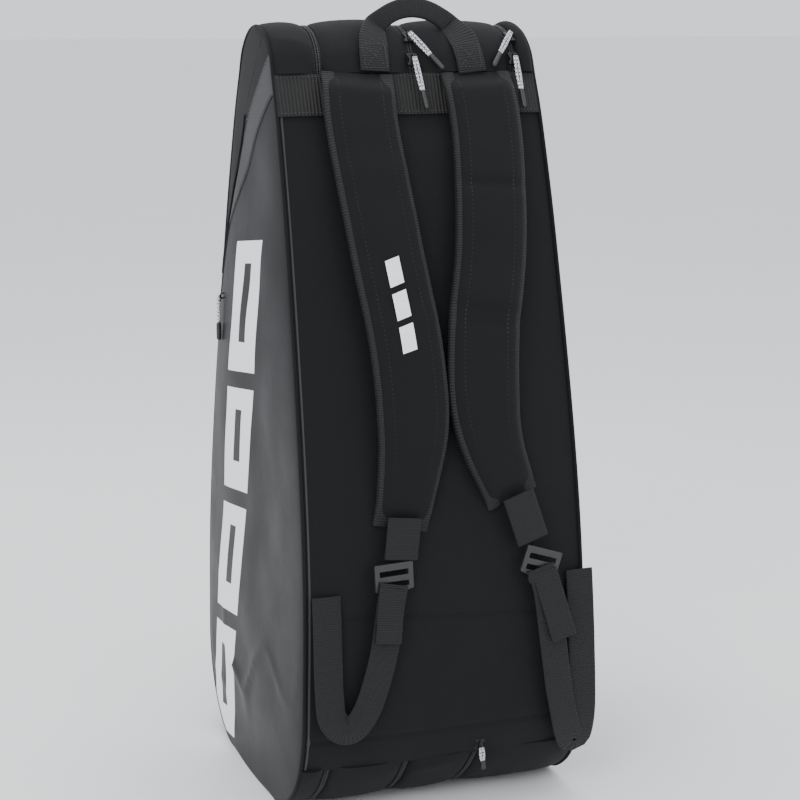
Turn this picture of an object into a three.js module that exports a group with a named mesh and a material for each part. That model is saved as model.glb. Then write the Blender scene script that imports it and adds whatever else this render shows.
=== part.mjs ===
// Racket tournament bag, standing on its wide end. Millimetres, +Z up.
// The shoulder straps and the spine panel face -Y, the tarpaulin pocket faces -X.
// Origin: middle of the flat base.
import * as THREE from "three";

// ---- driving dimensions ----
const HEIGHT = 750;              // base to crown, without the top handle
const HALF_WIDTH_BASE = 150;     // X, at the base
const HALF_WIDTH_TOP = 137;      // X, at the crown
const HALF_DEPTH = 170;          // Y, at the deepest level
const BASE_HALF_FLAT = 70;       // half of the flat strip that the bag stands on
const CORNER_HEIGHT = 110;       // height of the rounded lower corners
const CAP_RADIUS = 57;           // crown of the narrow end
const CAP_Z = HEIGHT - CAP_RADIUS;
const CAP_START_DEG = 10;

const WALL = 4;                  // gusset, divider and cover cloth with its foam
const SPINE_THICK = 12;          // padded spine panel
const GAP = 0.3;                 // clearance between touching pieces
const SPINE_EDGE = 22;           // cloth hinge between the spine and each cover
const ZIP_LOW_Z = 60;            // lower end of every main zip, on the strap side
const ZIP_TOP_Z = 705;           // upper end of every main zip, on the strap side
const ZIP_HALF = 4;              // half the width of a zip's two tapes
const POCKET_THICK = 8;          // tarpaulin pocket front, lying flat on the cover
const WEBBING = 2.4;
const PAD_THICK = 13;
const BAND_STEP = 24;             // length of one facet along a strap

// the main zips drift towards +X as they rise: X at the base and at the crown
const ZIP_1 = [-119, -85];
const ZIP_2 = [-40, 9];
const ZIP_3 = [29, 115];
const DIVIDER_LEFT = [-80, -38];
const DIVIDER_RIGHT = [-6, 62];

const BLACK_CLOTH = 0x16171a;
const BLACK_TAPE = 0x0d0e10;

// ---- small helpers ----
const rad = THREE.MathUtils.degToRad;
const ramp = (ends) => (z) => ends[0] + ((ends[1] - ends[0]) * z) / HEIGHT;
const sideX = ramp([HALF_WIDTH_BASE, HALF_WIDTH_TOP]);
const shift = (line, by) => (z) => line(z) + by;
const leftPanelInside = (z) => -sideX(z) + POCKET_THICK + GAP + WALL;
const rightPanelInside = (z) => sideX(z) - WALL;

function material(color, roughness, metalness = 0) {
  return new THREE.MeshStandardMaterial({ color, roughness, metalness });
}

const bag = new THREE.Group();

function add(name, geometry, mat) {
  const mesh = new THREE.Mesh(geometry, mat);
  mesh.name = name;
  bag.add(mesh);
  return mesh;
}

// A closed solid from rings of corner points, capped at both ends.
function solidFromRings(rings) {
  const count = rings[0].length;
  const vertices = rings.flat().flatMap((p) => [p.x, p.y, p.z]);
  const faces = [];
  for (let i = 0; i + 1 < rings.length; i += 1) {
    for (let k = 0; k < count; k += 1) {
      const a = i * count + k;
      const b = i * count + ((k + 1) % count);
      faces.push(a, b, b + count, a, b + count, a + count);
    }
  }
  const last = (rings.length - 1) * count;
  for (let k = 1; k + 1 < count; k += 1) {
    faces.push(0, k + 1, k, last, last + k, last + k + 1);
  }
  const geometry = new THREE.BufferGeometry();
  geometry.setAttribute("position", new THREE.Float32BufferAttribute(vertices, 3));
  geometry.setIndex(volumeSign(vertices, faces) < 0 ? flipped(faces) : faces);
  geometry.computeVertexNormals();
  return geometry;
}

function volumeSign(vertices, faces) {
  const corner = (i) => new THREE.Vector3().fromArray(vertices, i * 3);
  let volume = 0;
  for (let i = 0; i < faces.length; i += 3) {
    const cross = corner(faces[i + 1]).cross(corner(faces[i + 2]));
    volume += corner(faces[i]).dot(cross);
  }
  return volume;
}

function flipped(faces) {
  const turned = [];
  for (let i = 0; i < faces.length; i += 3) turned.push(faces[i], faces[i + 2], faces[i + 1]);
  return turned;
}

// ---- side outline of the bag, in (y, z), for y >= 0 ----
function halfOutline() {
  const path = new THREE.Path();
  path.moveTo(0, 0);
  path.lineTo(BASE_HALF_FLAT, 0);
  path.absellipse(
    BASE_HALF_FLAT, CORNER_HEIGHT, HALF_DEPTH - BASE_HALF_FLAT, CORNER_HEIGHT, -Math.PI / 2, 0, false,
  );
  path.splineThru([
    new THREE.Vector2(168, 234),
    new THREE.Vector2(148, 368),
    new THREE.Vector2(108, 541),
    new THREE.Vector2(82, 633),
    new THREE.Vector2(64, 686),
    capPoint(CAP_START_DEG),
  ]);
  path.absarc(0, CAP_Z, CAP_RADIUS, rad(CAP_START_DEG), Math.PI / 2, false);
  return path;
}

function capPoint(degrees) {
  return new THREE.Vector2(
    CAP_RADIUS * Math.cos(rad(degrees)),
    CAP_Z + CAP_RADIUS * Math.sin(rad(degrees)),
  );
}

const OUTLINE = halfOutline();

// where on the outline, from 0 at the base to 1 at the crown, a level is reached
function stationAt(z) {
  let low = 0;
  let high = 1;
  for (let i = 0; i < 30; i += 1) {
    const middle = (low + high) / 2;
    if (OUTLINE.getPointAt(middle).y < z) low = middle;
    else high = middle;
  }
  return low;
}

const halfDepth = (z) => OUTLINE.getPointAt(stationAt(z)).x;

// points of the outline with outward normals; side is -1 for the strap side, +1 for the far side
function stretch(from, to, steps, side) {
  const points = [];
  for (let i = 0; i <= steps; i += 1) {
    const u = from + ((to - from) * i) / steps;
    const p = OUTLINE.getPointAt(u);
    const t = OUTLINE.getTangentAt(u);
    points.push({ y: side * p.x, z: p.y, ny: side * t.y, nz: -t.x });
  }
  return points;
}

// the run of a main zip: under the base, up the far side and over the crown
function gussetRun() {
  const start = stationAt(ZIP_LOW_Z);
  const end = stationAt(ZIP_TOP_Z);
  return [
    ...stretch(start, 0, 9, -1),
    ...stretch(0, 1, 28, 1).slice(1),
    ...stretch(1, end, 6, -1).slice(1),
  ];
}

// A cloth strip along the outline, between two lines given as X over Z.
function outlineStrip(points, lowX, highX, thickness, lift = 0) {
  const rings = points.map((p) => {
    const outer = [p.y + p.ny * lift, p.z + p.nz * lift];
    const inner = [p.y + p.ny * (lift - thickness), p.z + p.nz * (lift - thickness)];
    return [
      new THREE.Vector3(lowX(p.z), outer[0], outer[1]),
      new THREE.Vector3(highX(p.z), outer[0], outer[1]),
      new THREE.Vector3(highX(p.z), inner[0], inner[1]),
      new THREE.Vector3(lowX(p.z), inner[0], inner[1]),
    ];
  });
  return solidFromRings(rings);
}

// ---- flat panels in the side outline's shape ----
function outlineShape(inset, topZ = HEIGHT) {
  const steps = 34;
  const top = stationAt(Math.min(topZ, HEIGHT) - 1e-6);
  const far = stretch(0, topZ < HEIGHT ? top : 1, steps, 1);
  const near = stretch(topZ < HEIGHT ? top : 1, 0, steps, -1);
  const points = [...far, ...near]
    .map((p) => new THREE.Vector2(p.y - p.ny * inset, p.z - p.nz * inset))
    .filter((p, i, all) => i === 0 || p.distanceTo(all[i - 1]) > 0.5);
  if (points[0].distanceTo(points[points.length - 1]) < 0.5) points.pop();
  return new THREE.Shape(points);
}

// A panel of this shape whose -X face follows a line given as X over Z.
function outlinePanel(shape, lowX, thickness) {
  const geometry = new THREE.ExtrudeGeometry(shape, { depth: thickness, bevelEnabled: false });
  const position = geometry.getAttribute("position");
  for (let i = 0; i < position.count; i += 1) {
    const y = position.getX(i);
    const z = position.getY(i);
    position.setXYZ(i, lowX(z) + position.getZ(i), y, z);
  }
  geometry.computeVertexNormals();
  return geometry;
}

// ---- straps: a flat band in front of the spine panel, through (x, z) points ----
function band(points, standOff, widths, thickness) {
  const curve = new THREE.SplineCurve(points.map(([x, z]) => new THREE.Vector2(x, z)));
  const steps = Math.max(3, Math.round(curve.getLength() / BAND_STEP));
  const rings = [];
  for (let i = 0; i <= steps; i += 1) {
    const u = i / steps;
    const p = curve.getPointAt(u);
    const t = curve.getTangentAt(u);
    const across = new THREE.Vector3(-t.y, 0, t.x);
    const slope = (halfDepth(p.y - 1) - halfDepth(p.y + 1)) / 2;
    const out = new THREE.Vector3(0, -1, -slope).normalize();
    const half = (widths[0] + (widths[1] - widths[0]) * u) / 2;
    const foot = new THREE.Vector3(p.x, -halfDepth(p.y), p.y).addScaledVector(out, standOff(p.y));
    const left = foot.clone().addScaledVector(across, -half);
    const right = foot.clone().addScaledVector(across, half);
    const lift = out.clone().multiplyScalar(thickness);
    rings.push([left, right, right.clone().add(lift), left.clone().add(lift)]);
  }
  return solidFromRings(rings);
}

// a point in front of the spine panel
const front = (x, z, off) => new THREE.Vector3(x, -halfDepth(z) - off, z);

// ---- the bag's body ----
function buildSpine() {
  const cloth = material(BLACK_CLOTH, 0.85);
  const low = stationAt(66);
  const high = stationAt(697);
  add(
    "spine_panel",
    outlineStrip(
      stretch(low, high, 20, -1),
      (z) => -sideX(z) + SPINE_EDGE,
      (z) => sideX(z) - SPINE_EDGE,
      SPINE_THICK,
    ),
    cloth,
  );
  add(
    "top_webbing_band",
    outlineStrip(
      stretch(stationAt(668), stationAt(704), 4, -1),
      (z) => -sideX(z) + SPINE_EDGE,
      (z) => sideX(z) - SPINE_EDGE,
      WEBBING,
      WEBBING + GAP,
    ),
    material(BLACK_TAPE, 0.7),
  );
  const hinge = (name, lowX, highX) =>
    add(name, outlineStrip(stretch(low, high, 20, -1), lowX, highX, WALL), material(BLACK_CLOTH, 0.8));
  hinge("left_hinge_cloth", shift(leftPanelInside, GAP), (z) => -sideX(z) + SPINE_EDGE - GAP);
  hinge("right_hinge_cloth", (z) => sideX(z) - SPINE_EDGE + GAP, shift(rightPanelInside, -GAP));
}

function buildGussets(run) {
  const cloth = material(BLACK_CLOTH, 0.8);
  const [one, two, three] = [ZIP_1, ZIP_2, ZIP_3].map(ramp);
  const clear = ZIP_HALF + GAP;
  add("left_gusset", outlineStrip(run, shift(leftPanelInside, GAP), shift(one, -clear), WALL), cloth);
  add("middle_gusset_left", outlineStrip(run, shift(one, clear), shift(two, -clear), WALL), cloth);
  add("middle_gusset_right", outlineStrip(run, shift(two, clear), shift(three, -clear), WALL), cloth);
  add("right_gusset", outlineStrip(run, shift(three, clear), shift(rightPanelInside, -GAP), WALL), cloth);
}

function buildZips(run) {
  const tape = material(BLACK_TAPE, 0.6);
  const depth = 3;
  [["zip_1", ZIP_1], ["zip_2", ZIP_2], ["zip_3", ZIP_3]].forEach(([name, ends]) => {
    const line = ramp(ends);
    add(`${name}_tape_left`, outlineStrip(run, shift(line, -ZIP_HALF), shift(line, -GAP / 2), depth), tape);
    add(`${name}_tape_right`, outlineStrip(run, shift(line, GAP / 2), shift(line, ZIP_HALF), depth), tape);
  });
}

function buildDividers() {
  const lining = material(0x2a2b2e, 0.9);
  const shape = outlineShape(SPINE_THICK + 1);
  add("left_divider", outlinePanel(shape, ramp(DIVIDER_LEFT), WALL), lining);
  add("right_divider", outlinePanel(shape, ramp(DIVIDER_RIGHT), WALL), lining);
}

// ---- the two covers ----
function buildCovers() {
  const cloth = material(BLACK_CLOTH, 0.75);
  const whole = outlineShape(0);
  add("left_side_panel", outlinePanel(whole, (z) => -sideX(z) + POCKET_THICK + GAP, WALL), cloth);
  add("right_side_panel", outlinePanel(whole, (z) => sideX(z) - WALL, WALL), cloth);
}

// Pocket front: the lower tarpaulin, cut off along the sloping pocket zip and grey strip.
const STRIP_TOP = new THREE.Vector2(-84, 742);   // upper edge line of the strip, in (y, z)
const STRIP_FOOT = new THREE.Vector2(158, 470);
const STRIP_SLOPE = STRIP_FOOT.clone().sub(STRIP_TOP).normalize();
const STRIP_BELOW = new THREE.Vector2(STRIP_SLOPE.y, -STRIP_SLOPE.x);
const POCKET_SLIDER_AT = 0.12;   // how far up the zip its slider stands
const LOW_SLIDER_Z = 67;         // level of the slider at the foot of the right zip

function buildPocket() {
  const height = (p) => p.clone().sub(STRIP_TOP).dot(STRIP_BELOW);
  const all = outlineShape(2).getPoints();
  const cut = (near, far) => clipped(clipped(all, (p) => height(p) - near), (p) => far - height(p));
  const lowX = (z) => -sideX(z);
  const panel = (points, thick) =>
    outlinePanel(new THREE.Shape(points), shift(lowX, POCKET_THICK - thick), thick);
  add("pocket_front", panel(cut(45, 2000), POCKET_THICK), material(0x1c1d20, 0.3));
  add("pocket_zip", panel(cut(30.5, 44.5), 4), material(BLACK_TAPE, 0.6));
  add("pocket_strip", panel(cut(0.5, 30), 5), material(0x6d6f73, 0.8));
}

// the part of a polygon where keep(point) is positive
function clipped(points, keep) {
  const result = [];
  points.forEach((p, i) => {
    const q = points[(i + 1) % points.length];
    const [a, b] = [keep(p), keep(q)];
    if (a >= 0) result.push(p);
    if (a * b < 0) result.push(p.clone().lerp(q, a / (a - b)));
  });
  return result;
}

// ---- shoulder straps ----
const STRAP_TOP_Z = 700;          // the pads are sewn in just below the crown

const STRAPS = {
  left: {
    line: [[-53, STRAP_TOP_Z], [-55, 650], [-45, 545], [-33, 454], [-32, 381], [-42, 320], [-47, 296]],
    patch: [[-47, 293], [-51, 268]],
    buckle: [-57, 246], tilt: 3,
    tail: [[-62, 225], [-65, 186]],
    lower: [[-60, 224], [-70, 170], [-84, 124], [-100, 104]],
    side: [[-119, 232], [-118, 108]],
  },
  right: {
    line: [[68, STRAP_TOP_Z], [69, 640], [60, 541], [47, 470], [42, 403], [49, 357], [66, 314]],
    patch: [[70, 308], [84, 272]],
    buckle: [92, 246], tilt: -18,
    tail: [[99, 226], [112, 172]],
    lower: [[96, 222], [103, 170], [110, 115], [122, 72]],
    side: [[134, 234], [135, 62]],
  },
};

function standOff(z) {
  return 6 + 5 * Math.sin(Math.PI * THREE.MathUtils.clamp((STRAP_TOP_Z - z) / 420, 0, 1));
}

// a buckle frame with two slots for the webbing and a half-round thumb tab
function buckleShape() {
  const halfWide = 19;
  const shape = new THREE.Shape();
  shape.moveTo(-halfWide, 15);
  shape.lineTo(-halfWide, -11);
  shape.lineTo(-11, -13);
  shape.absarc(0, -13, 9, Math.PI, 2 * Math.PI, false);
  shape.lineTo(11, -13);
  shape.lineTo(halfWide, -11);
  shape.lineTo(halfWide, 15);
  shape.lineTo(-halfWide, 15);
  [8, -3].forEach((z) => {
    const slot = new THREE.Path();
    slot.moveTo(-14, z);
    slot.lineTo(-14, z - 5);
    slot.lineTo(14, z - 5);
    slot.lineTo(14, z);
    slot.lineTo(-14, z);
    shape.holes.push(slot);
  });
  return shape;
}

function buildStrap(side) {
  const spec = STRAPS[side];
  const pad = material(BLACK_CLOTH, 0.85);
  const tape = material(BLACK_TAPE, 0.65);
  const webbing = (list, off, width) => band(list, () => off, [width, width], WEBBING);
  add(`${side}_strap_pad`, band(spec.line, standOff, [70, 50], PAD_THICK), pad);
  add(`${side}_strap_patch`, webbing(spec.patch, 12, 32), tape);
  const buckle = new THREE.ExtrudeGeometry(buckleShape(), { depth: 4, bevelEnabled: false, curveSegments: 8 });
  const mesh = add(`${side}_buckle`, buckle, material(0x111214, 0.35));
  const [x, z] = spec.buckle;
  mesh.rotation.set(Math.PI / 2, rad(-spec.tilt), 0, "YXZ");
  mesh.position.copy(front(x, z, 10));
  add(`${side}_tail`, webbing(spec.tail, 13, 26), tape);
  add(`${side}_lower_strap`, webbing(spec.lower, 7, 28), tape);
  add(`${side}_side_webbing`, webbing(spec.side, 1, 27), tape);
}

// ---- top handle ----
const HANDLE_X = [-30, 62];
const HANDLE_WIDTH = 30;

function capStrip(x, fromDeg, toDeg, width) {
  const points = [];
  for (let i = 0; i <= 4; i += 1) {
    const a = rad(fromDeg + ((toDeg - fromDeg) * i) / 4);
    points.push({
      y: -CAP_RADIUS * Math.cos(a),
      z: CAP_Z + CAP_RADIUS * Math.sin(a),
      ny: -Math.cos(a),
      nz: Math.sin(a),
    });
  }
  return outlineStrip(points, () => x - width / 2, () => x + width / 2, WEBBING, WEBBING + GAP);
}

function buildHandle() {
  const tape = material(BLACK_TAPE, 0.7);
  add("handle_foot_left", capStrip(HANDLE_X[0], 16, 48, HANDLE_WIDTH), tape);
  add("handle_foot_right", capStrip(HANDLE_X[1], 16, 48, HANDLE_WIDTH), tape);
  const y = -30;
  const route = new THREE.CatmullRomCurve3([
    new THREE.Vector3(HANDLE_X[0], y - 2, 752),
    new THREE.Vector3(HANDLE_X[0] + 8, y, 759),
    new THREE.Vector3(HANDLE_X[0] + 28, y, 768),
    new THREE.Vector3(HANDLE_X[1] - 34, y, 768),
    new THREE.Vector3(HANDLE_X[1] - 10, y, 759),
    new THREE.Vector3(HANDLE_X[1], y - 2, 751),
  ]);
  const section = new THREE.Shape();
  section.absellipse(0, 0, 3, 9, 0, 2 * Math.PI);
  const loop = new THREE.ExtrudeGeometry(section, {
    steps: 20, extrudePath: route, bevelEnabled: false, curveSegments: 5,
  });
  add("top_handle", loop, tape);
}

// ---- zip sliders and their pulls ----
const SLIDER_WIDE = 9;
const SLIDER_LONG = 12;
const SLIDER_TALL = 4;
const SLIDER_LIFT = 0.6;         // clear of the zip's tapes
const PULL_RADIUS = 2;
const PULL_LIFT = 9;             // a pull's axis above the cloth

// A slider lies at p along its zip, facing out; its pull reaches from one point to another.
function buildSlider(name, p, alongZip, out, pullFrom, pullTo) {
  const body = new THREE.BoxGeometry(SLIDER_WIDE, SLIDER_LONG, SLIDER_TALL);
  const slider = add(`${name}_slider`, body, material(0x1b1c1e, 0.3, 0.6));
  const across = new THREE.Vector3().crossVectors(alongZip, out);
  slider.position.copy(p);
  slider.quaternion.setFromRotationMatrix(new THREE.Matrix4().makeBasis(across, alongZip, out));
  const along = pullTo.clone().sub(pullFrom);
  const cord = new THREE.CylinderGeometry(PULL_RADIUS, PULL_RADIUS, along.length(), 8);
  const pull = add(`${name}_pull`, cord, material(0x0b0b0c, 0.5));
  pull.position.copy(pullFrom).addScaledVector(along, 0.5);
  pull.quaternion.setFromUnitVectors(new THREE.Vector3(0, 1, 0), along.normalize());
}

// a point over the crown, counted from level on the strap side
function overCap(x, degrees, lift) {
  const reach = CAP_RADIUS + lift;
  return new THREE.Vector3(x, -reach * Math.cos(rad(degrees)), CAP_Z + reach * Math.sin(rad(degrees)));
}

function capSlider(name, ends, degrees, pullTo) {
  const x = ramp(ends)(overCap(0, degrees, 0).z);
  const p = overCap(x, degrees, SLIDER_LIFT + SLIDER_TALL / 2);
  const pullFrom = overCap(x, degrees, PULL_LIFT);
  const out = new THREE.Vector3(0, -Math.cos(rad(degrees)), Math.sin(rad(degrees)));
  const up = new THREE.Vector3(0, Math.sin(rad(degrees)), Math.cos(rad(degrees)));
  buildSlider(name, p, up, out, pullFrom, pullTo(x));
}

function buildSliders() {
  capSlider("zip_1", ZIP_1, 152, (x) => new THREE.Vector3(x, halfDepth(674) + PULL_LIFT, 674));
  capSlider("zip_2_front", ZIP_2, 25, (x) => front(x + 6, 672, PULL_LIFT));
  capSlider("zip_2_back", ZIP_2, 50, (x) => overCap(x + 27, 14, PULL_LIFT));
  capSlider("zip_3_front", ZIP_3, 25, (x) => front(x + 2, 672, PULL_LIFT));
  capSlider("zip_3_back", ZIP_3, 50, (x) => overCap(x - 27, 16, PULL_LIFT));

  const low = OUTLINE.getTangentAt(stationAt(LOW_SLIDER_Z));
  const lowX = ramp(ZIP_3)(LOW_SLIDER_Z);
  const onZip = (lift) => new THREE.Vector3(
    lowX, -halfDepth(LOW_SLIDER_Z) - lift * low.y, LOW_SLIDER_Z - lift * low.x,
  );
  const hang = onZip(PULL_LIFT).add(new THREE.Vector3(2, 0, -22));
  const lowUp = new THREE.Vector3(0, -low.x, low.y);
  const lowOut = new THREE.Vector3(0, -low.y, -low.x);
  buildSlider("zip_3_low", onZip(SLIDER_LIFT + SLIDER_TALL / 2), lowUp, lowOut, onZip(PULL_LIFT), hang);

  const middle = STRIP_FOOT.clone().lerp(STRIP_TOP, POCKET_SLIDER_AT).addScaledVector(STRIP_BELOW, 37.5);
  const faceX = -sideX(middle.y) + POCKET_THICK - 4;
  const onFace = (lift, drop) => new THREE.Vector3(faceX - lift, middle.x, middle.y - drop);
  const zipUp = new THREE.Vector3(0, -STRIP_SLOPE.x, -STRIP_SLOPE.y);
  const faceOut = new THREE.Vector3(-1, 0, 0);
  const p = onFace(SLIDER_LIFT + SLIDER_TALL / 2, 0);
  buildSlider("pocket", p, zipUp, faceOut, onFace(PULL_LIFT, 0), onFace(PULL_LIFT, 46));
}

const run = gussetRun();
buildSpine();
buildGussets(run);
buildZips(run);
buildDividers();
buildCovers();
buildPocket();
buildStrap("left");
buildStrap("right");
buildHandle();
buildSliders();

export default bag;
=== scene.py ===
"""Racket bag: the visual model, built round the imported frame. Metres, +Z up, straps towards -Y."""
import math

import bpy
import bmesh
import numpy as np
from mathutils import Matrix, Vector, noise


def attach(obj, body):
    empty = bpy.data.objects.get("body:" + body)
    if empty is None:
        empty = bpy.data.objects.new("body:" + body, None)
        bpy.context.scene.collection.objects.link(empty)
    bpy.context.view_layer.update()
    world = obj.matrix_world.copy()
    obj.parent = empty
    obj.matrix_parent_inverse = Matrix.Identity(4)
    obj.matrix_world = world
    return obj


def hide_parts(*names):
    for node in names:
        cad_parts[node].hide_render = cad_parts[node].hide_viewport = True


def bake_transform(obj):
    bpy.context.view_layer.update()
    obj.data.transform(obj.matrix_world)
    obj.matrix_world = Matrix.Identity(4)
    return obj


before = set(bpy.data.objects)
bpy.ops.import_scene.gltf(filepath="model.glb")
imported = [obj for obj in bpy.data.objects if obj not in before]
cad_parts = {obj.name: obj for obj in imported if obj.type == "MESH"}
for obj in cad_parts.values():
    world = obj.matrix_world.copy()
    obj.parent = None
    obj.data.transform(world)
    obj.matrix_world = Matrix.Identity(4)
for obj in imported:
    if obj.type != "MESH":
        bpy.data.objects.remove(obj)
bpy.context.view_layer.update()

# ---- sizes ----
HEIGHT = 0.750
CAP_RADIUS = 0.057
CAP_Z = HEIGHT - CAP_RADIUS
RIM_INSET = 0.006          # the covers' edges are this far in from their crowned middles
FACE_CROWN = 0.007         # how far the big side faces swell past their edges
ZIP_LOW_Z = 0.060
ZIP_TOP_Z = 0.705
ZIP_HALF = 0.0045
CLOTH = 0.0035
GUSSET_PUFF = 0.0050
SHARP_EDGE = math.radians(55)
SLIDER_HALF = 0.0062       # half a slider's length
FLOOR = 60.0               # half the floor's width
ZIPS = {"zip_1": (-0.119, -0.085), "zip_2": (-0.040, 0.009), "zip_3": (0.029, 0.115)}
DIVIDERS = {"left_divider": (-0.078, -0.036), "right_divider": (-0.004, 0.064)}
# tarpaulin pocket, as lines through two (y, z) points on the left face
STRIP_UPPER = ((-0.063, 0.741), (0.075, 0.578))
STRIP_LOWER = ((-0.094, 0.718), (0.044, 0.581))
POCKET_ZIP = ((0.014, 0.662), (0.139, 0.449))
STRAPS = {
    "left": {
        "pad": [(-0.052, 0.703), (-0.055, 0.650), (-0.045, 0.545), (-0.033, 0.454), (-0.031, 0.381),
                (-0.041, 0.320), (-0.047, 0.290)],
        "patch": [(-0.046, 0.300), (-0.050, 0.262)],
        "tail": [(-0.060, 0.236), (-0.063, 0.215), (-0.066, 0.186)],
        "lower": [(-0.058, 0.240), (-0.062, 0.220), (-0.070, 0.170), (-0.084, 0.124), (-0.100, 0.104),
                  (-0.116, 0.112), (-0.121, 0.140), (-0.121, 0.232)],
        "buckle": (-0.057, 0.246),
        "tilt": 3,
        "ripples": (),
    },
    "right": {
        "pad": [(0.068, 0.703), (0.069, 0.640), (0.060, 0.541), (0.047, 0.470), (0.042, 0.403),
                (0.049, 0.357), (0.068, 0.308)],
        "patch": [(0.069, 0.312), (0.084, 0.268)],
        "tail": [(0.094, 0.238), (0.101, 0.215), (0.114, 0.172)],
        "lower": [(0.090, 0.242), (0.097, 0.218), (0.104, 0.170), (0.113, 0.115), (0.124, 0.078),
                  (0.135, 0.064), (0.139, 0.090), (0.136, 0.234)],
        "buckle": (0.092, 0.246),
        "tilt": -18,
        "ripples": (0.60, 0.485, 0.475),
    },
}


def side_x(z):
    return 0.150 - 0.013 * np.asarray(z) / HEIGHT - RIM_INSET


def ramp(ends, z):
    return ends[0] + (ends[1] - ends[0]) * np.asarray(z) / HEIGHT


def smooth(low, high, value):
    t = np.clip((np.asarray(value) - low) / (high - low), 0, 1)
    return t * t * (3 - 2 * t)


# ---- the bag's side outline, read from the frame ----
def catmull_rom(points, per_step, closed=False):
    """A smooth curve through points, as an array."""
    p = np.asarray(points, float)
    if closed:
        p = np.vstack([p[-1:], p, p[:2]])
    else:
        p = np.vstack([2 * p[0] - p[1], p, 2 * p[-1] - p[-2]])
    t = np.linspace(0, 1, per_step, endpoint=False)[:, None]
    pieces = []
    for a, b, c, d in zip(p[:-3], p[1:-2], p[2:-1], p[3:]):
        pieces.append(0.5 * (2 * b + (c - a) * t + (2 * a - 5 * b + 4 * c - d) * t**2
                             + (3 * b - a - 3 * c + d) * t**3))
    if not closed:
        pieces.append(p[-2][None])
    return np.vstack(pieces)


def by_length(points, count):
    """The same curve with count points at even distances."""
    step = np.linalg.norm(np.diff(points, axis=0), axis=1)
    at = np.r_[0, np.cumsum(step)]
    even = np.linspace(0, at[-1], count)
    return np.stack([np.interp(even, at, points[:, k]) for k in range(points.shape[1])], 1), at[-1]


class Outline:
    """The closed side outline. s is the distance along it: base, far side, crown, strap side."""

    def __init__(self):
        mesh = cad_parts["right_side_panel"].data
        points = {(round(v.co.y, 5), round(v.co.z, 5)) for v in mesh.vertices}
        turn = lambda p: math.atan2(p[0], HEIGHT * 0.45 - p[1]) % (2 * math.pi)
        ring = np.array(sorted(points, key=turn))
        curve = catmull_rom(ring, 12, closed=True)
        curve = np.vstack([curve, curve[:1]])
        curve[:, 1] = np.maximum(curve[:, 1], 0)
        self.points, self.length = by_length(curve, 1600)
        self.s = np.linspace(0, self.length, 1600)
        t = np.gradient(self.points, axis=0)
        t = np.stack([np.convolve(np.r_[t[-9:-1, k], t[:, k], t[1:9, k]], np.ones(9) / 9, "same")[8:-8]
                      for k in (0, 1)], 1)
        t /= np.linalg.norm(t, axis=1)[:, None]
        self.normals = np.stack([t[:, 1], -t[:, 0]], 1)
        top = int(np.argmax(self.points[:, 1]))
        self.top = top

    def at(self, s):
        s = np.asarray(s) % self.length
        look = lambda a: np.interp(s, self.s, a)
        return (look(self.points[:, 0]), look(self.points[:, 1]),
                look(self.normals[:, 0]), look(self.normals[:, 1]))

    def far(self, z):
        return np.interp(z, self.points[: self.top, 1], self.s[: self.top])

    def strap(self, z):
        back = slice(len(self.s) - 1, self.top, -1)
        return np.interp(z, self.points[back, 1], self.s[back])

    def depth(self, z):
        """Half depth at a level."""
        return np.interp(z, self.points[: self.top, 1], self.points[: self.top, 0])


rim = Outline()


# ---- materials ----
class Nodes:
    """A small wrapper that makes node trees readable."""

    def __init__(self, name):
        self.material = bpy.data.materials.new(name)
        self.material.use_nodes = True
        self.tree = self.material.node_tree
        self.shader = self.tree.nodes["Principled BSDF"]
        self.coords = self.tree.nodes.new("ShaderNodeTexCoord")

    def link(self, a, b):
        self.tree.links.new(a, b)

    def set(self, **values):
        for key, value in values.items():
            self.shader.inputs[key.replace("_", " ")].default_value = value

    def math(self, operation, a, b=None, clamp=False):
        node = self.tree.nodes.new("ShaderNodeMath")
        node.operation = operation
        node.use_clamp = clamp
        for socket, value in zip(node.inputs, (a, b)):
            if value is None:
                continue
            if isinstance(value, (int, float)):
                socket.default_value = value
            else:
                self.link(value, socket)
        return node.outputs[0]

    def axes(self, output="UV"):
        node = self.tree.nodes.new("ShaderNodeSeparateXYZ")
        self.link(self.coords.outputs[output], node.inputs[0])
        return node.outputs

    def noise(self, scale, detail=4.0, rough=0.6):
        node = self.tree.nodes.new("ShaderNodeTexNoise")
        node.inputs["Scale"].default_value = scale
        node.inputs["Detail"].default_value = detail
        node.inputs["Roughness"].default_value = rough
        self.link(self.coords.outputs["Object"], node.inputs["Vector"])
        return node.outputs["Fac"]

    def wave(self, axis, period):
        """0..1 ribs along a coordinate."""
        turns = self.math("MULTIPLY", axis, 2 * math.pi / period)
        return self.math("MULTIPLY_ADD", self.math("SINE", turns), 0.5)

    def mix(self, fac, low, high):
        node = self.tree.nodes.new("ShaderNodeMix")
        node.data_type = "RGBA"
        if isinstance(fac, (int, float)):
            node.inputs["Factor"].default_value = fac
        else:
            self.link(fac, node.inputs["Factor"])
        for key, value in (("A", low), ("B", high)):
            socket = [i for i in node.inputs if i.name == key and i.type == "RGBA"][0]
            if isinstance(value, tuple):
                socket.default_value = (*value, 1)
            else:
                self.link(value, socket)
        return [o for o in node.outputs if o.type == "RGBA"][0]

    def bump(self, height, distance, strength=1.0, after=None):
        node = self.tree.nodes.new("ShaderNodeBump")
        node.inputs["Distance"].default_value = distance
        node.inputs["Strength"].default_value = strength
        self.link(height, node.inputs["Height"])
        if after is not None:
            self.link(after, node.inputs["Normal"])
        return node.outputs[0]

    def roughness(self, noise_out, low, high):
        span = self.math("MULTIPLY", noise_out, high - low)
        self.link(self.math("ADD", span, low), self.shader.inputs["Roughness"])

    def color(self, output):
        self.link(output, self.shader.inputs["Base Color"])

    def normal(self, output):
        self.link(output, self.shader.inputs["Normal"])


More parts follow.
